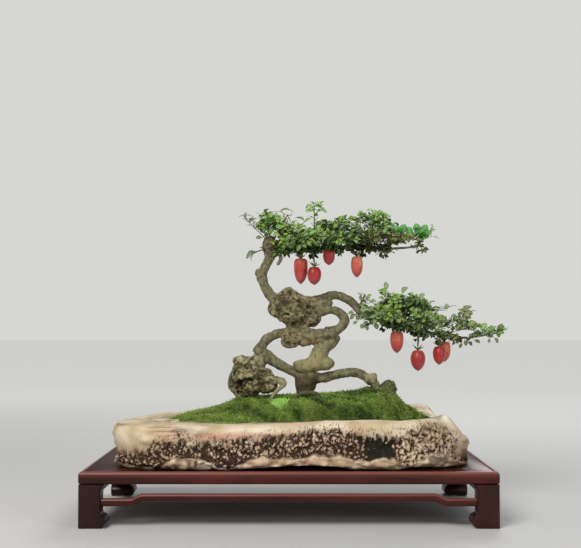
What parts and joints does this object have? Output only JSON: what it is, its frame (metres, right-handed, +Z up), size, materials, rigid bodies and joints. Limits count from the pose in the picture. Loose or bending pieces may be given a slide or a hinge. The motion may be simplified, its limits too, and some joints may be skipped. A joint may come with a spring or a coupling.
{
  "type": "chinese persimmon bonsai",
  "caption": "Old fruiting dwarf persimmon tree with a knotted double trunk, rooted in a mossy mound on a hollowed stone slab that rests on a low lacquered wooden table.",
  "frame": {"origin": "middle of the overall bounding box at the underside of the table's feet", "axes": "+X along the table's length towards the long low branch, +Y to the back, +Z up"},
  "size_m": [0.5382, 0.27, 0.4047],
  "materials": {
    "lacquered_wood": "dark red-brown satin lacquer",
    "stone": "cream natural stone, smooth rim, dark pitted band",
    "soil": "damp dark soil",
    "moss": "dense cushion moss",
    "bark": "old pitted grey-olive bark",
    "leaf": "fresh green leaves with a soft sheen",
    "fruit": "ripe orange-red skin with a light bloom",
    "calyx": "drying olive-brown sepals"
  },
  "bodies": {
    "root": {"stand_frame_front": "lacquered_wood", "stand_frame_right": "lacquered_wood", "stand_frame_back": "lacquered_wood", "stand_frame_left": "lacquered_wood", "stand_panel": "lacquered_wood", "stand_batten": "lacquered_wood", "stand_leg_front_left": "lacquered_wood", "stand_leg_front_right": "lacquered_wood", "stand_leg_back_left": "lacquered_wood", "stand_leg_back_right": "lacquered_wood", "stand_rail_front": "lacquered_wood", "stand_rail_right": "lacquered_wood", "stand_rail_back": "lacquered_wood", "stand_rail_left": "lacquered_wood", "stone_slab": "stone", "soil": "soil", "moss": "moss", "trunk": "bark", "fruit_1": "fruit", "calyx_1": "calyx", "fruit_2": "fruit", "calyx_2": "calyx", "fruit_3": "fruit", "calyx_3": "calyx", "fruit_4": "fruit", "calyx_4": "calyx", "fruit_5": "fruit", "calyx_5": "calyx", "fruit_6": "fruit", "calyx_6": "calyx", "fruit_7": "fruit", "calyx_7": "calyx", "fruit_8": "fruit", "calyx_8": "calyx", "upper_spray_1": "leaf", "upper_spray_2": "leaf", "upper_spray_3": "leaf", "upper_spray_4": "leaf", "upper_spray_5": "leaf", "upper_spray_6": "leaf", "upper_spray_7": "leaf", "upper_spray_8": "leaf", "upper_spray_9": "leaf", "upper_spray_10": "leaf", "upper_spray_11": "leaf", "upper_spray_12": "leaf", "upper_spray_13": "leaf", "upper_spray_14": "leaf", "upper_spray_15": "leaf", "upper_spray_16": "leaf", "upper_spray_17": "leaf", "lower_spray_1": "leaf", "lower_spray_2": "leaf", "lower_spray_3": "leaf", "lower_spray_4": "leaf", "lower_spray_5": "leaf", "lower_spray_6": "leaf", "lower_spray_7": "leaf", "lower_spray_8": "leaf", "lower_spray_9": "leaf"}
  },
  "joints": []
}
